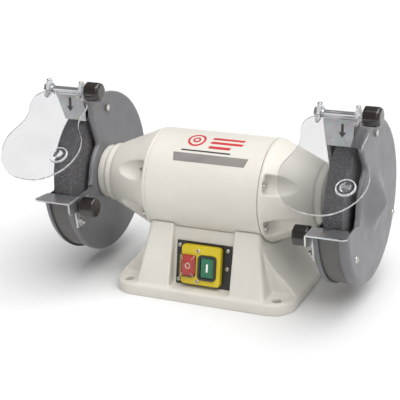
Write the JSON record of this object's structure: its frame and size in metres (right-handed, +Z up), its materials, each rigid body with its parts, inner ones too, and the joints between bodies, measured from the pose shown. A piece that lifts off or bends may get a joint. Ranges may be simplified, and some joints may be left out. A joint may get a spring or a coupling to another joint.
{
  "type": "bench grinder",
  "caption": "Double-ended bench grinder: cast motor body on a bolt-down base, guarded abrasive wheels, clear eye shields, sliding tool rests and a push-button switch.",
  "frame": {"origin": "centre of the four base bolt holes, in the plane of the underside of the base", "axes": "+X along the motor shaft to the right as seen by the user, +Y away from the user to the back, +Z up"},
  "size_m": [0.455, 0.2713, 0.2587],
  "materials": {
    "cream_paint": "satin sprayed enamel on cast aluminium",
    "grey_paint": "satin grey enamel on pressed steel",
    "zinc_sheet": "zinc plated sheet",
    "zinc_fastener": "bright zinc plated",
    "bright_steel": "ground steel",
    "machined_steel": "turned steel",
    "abrasive": "vitrified aluminium oxide grain",
    "blotter_paper": "compressed paper",
    "black_knob": "moulded phenolic",
    "clear_plastic": "clear polycarbonate",
    "black_plate": "black enamel",
    "black_plastic": "moulded",
    "yellow_plastic": "moulded",
    "red_plastic": "moulded",
    "green_plastic": "moulded",
    "lamination": "stacked electrical steel",
    "copper_winding": "enamelled copper wire",
    "capacitor_case": "drawn can"
  },
  "bodies": {
    "housing": {"base": "cream_paint", "base_plate": "zinc_sheet", "base_plate_screws": "zinc_fastener", "bearing_outer_rings": "bright_steel", "cable_gland": "black_plastic", "capacitor": "capacitor_case", "capacitor_clip": "zinc_sheet", "cover_screws": "zinc_fastener", "deflector_bolts": "zinc_fastener", "end_bell_left": "cream_paint", "end_bell_right": "cream_paint", "end_bell_screws": "zinc_fastener", "guard_band_left": "grey_paint", "guard_band_right": "grey_paint", "guard_inner_cover_left": "grey_paint", "guard_inner_cover_right": "grey_paint", "guard_mount_screws": "zinc_fastener", "guard_outer_cover_left": "grey_paint", "guard_outer_cover_right": "grey_paint", "motor_hold_down_bolts": "zinc_fastener", "motor_housing": "cream_paint", "rest_bracket_bolts": "zinc_fastener", "rest_bracket_left": "zinc_sheet", "rest_bracket_right": "zinc_sheet", "start_button_surround": "black_plastic", "stator_core": "lamination", "stator_windings": "copper_winding", "switch_body": "black_plastic", "switch_face": "yellow_plastic", "switch_face_screws": "zinc_fastener", "switch_plate": "black_plate", "switch_plate_screws": "zinc_fastener", "terminal_block": "black_plastic"},
    "rotor": {"shaft": "bright_steel", "rotor_core": "lamination", "bearing_inner_rings": "bright_steel", "bearing_balls": "bright_steel", "wheel_left": "abrasive", "wheel_right": "abrasive", "inner_flanges": "machined_steel", "outer_flanges": "machined_steel", "wheel_blotters": "blotter_paper", "spindle_nut_left": "zinc_fastener", "spindle_nut_right": "zinc_fastener"},
    "tool_rest_left": {"tool_rest_left": "zinc_sheet"},
    "rest_knob_left": {"rest_knob_left": "black_knob"},
    "spark_deflector_left": {"spark_deflector_left": "zinc_sheet", "shield_rod_left": "bright_steel"},
    "eye_shield_left": {"eye_shield_left": "clear_plastic", "eye_shield_screws_left": "zinc_fastener"},
    "shield_knob_left": {"shield_knob_left": "black_knob"},
    "tool_rest_right": {"tool_rest_right": "zinc_sheet"},
    "rest_knob_right": {"rest_knob_right": "black_knob"},
    "spark_deflector_right": {"spark_deflector_right": "zinc_sheet", "shield_rod_right": "bright_steel"},
    "eye_shield_right": {"eye_shield_right": "clear_plastic", "eye_shield_screws_right": "zinc_fastener"},
    "shield_knob_right": {"shield_knob_right": "black_knob"},
    "stop_button": {"stop_button": "red_plastic"},
    "start_button": {"start_button": "green_plastic"}
  },
  "joints": [
    {"name": "spindle_spin", "type": "hinge", "parent": "housing", "child": "rotor", "pos_m": [0, 0, 0.1262], "axis": [1, 0, 0], "continuous": true},
    {"name": "rest_slide_left", "type": "slide", "parent": "housing", "child": "tool_rest_left", "axis": [0, -1, 0], "range_m": [0, 0.012]},
    {"name": "rest_knob_turn_left", "type": "hinge", "parent": "housing", "child": "rest_knob_left", "pos_m": [-0.14, -0.0862, 0.1116], "axis": [1, 0, 0], "range_deg": [0, 360]},
    {"name": "deflector_slide_left", "type": "slide", "parent": "housing", "child": "spark_deflector_left", "axis": [0, 0, 1], "range_m": [0, 0.003]},
    {"name": "shield_tilt_left", "type": "hinge", "parent": "spark_deflector_left", "child": "eye_shield_left", "pos_m": [-0.176, -0.0441, 0.2462], "axis": [-1, 0, 0], "range_deg": [-20, 70]},
    {"name": "shield_knob_turn_left", "type": "hinge", "parent": "spark_deflector_left", "child": "shield_knob_left", "pos_m": [-0.141, -0.0441, 0.2462], "axis": [1, 0, 0], "range_deg": [0, 360]},
    {"name": "rest_slide_right", "type": "slide", "parent": "housing", "child": "tool_rest_right", "axis": [0, -1, 0], "range_m": [0, 0.012]},
    {"name": "rest_knob_turn_right", "type": "hinge", "parent": "housing", "child": "rest_knob_right", "pos_m": [0.14, -0.0862, 0.1116], "axis": [1, 0, 0], "range_deg": [0, 360]},
    {"name": "deflector_slide_right", "type": "slide", "parent": "housing", "child": "spark_deflector_right", "axis": [0, 0, 1], "range_m": [0, 0.003]},
    {"name": "shield_tilt_right", "type": "hinge", "parent": "spark_deflector_right", "child": "eye_shield_right", "pos_m": [0.176, -0.0441, 0.2462], "axis": [-1, 0, 0], "range_deg": [-20, 70]},
    {"name": "shield_knob_turn_right", "type": "hinge", "parent": "spark_deflector_right", "child": "shield_knob_right", "pos_m": [0.211, -0.0441, 0.2462], "axis": [1, 0, 0], "range_deg": [0, 360]},
    {"name": "stop_press", "type": "slide", "parent": "housing", "child": "stop_button", "axis": [0, 0.9724, -0.2334], "range_m": [0, 0.003], "stiffness_N_per_m": 500},
    {"name": "start_press", "type": "slide", "parent": "housing", "child": "start_button", "axis": [0, 0.9724, -0.2334], "range_m": [0, 0.003], "stiffness_N_per_m": 500}
  ]
}
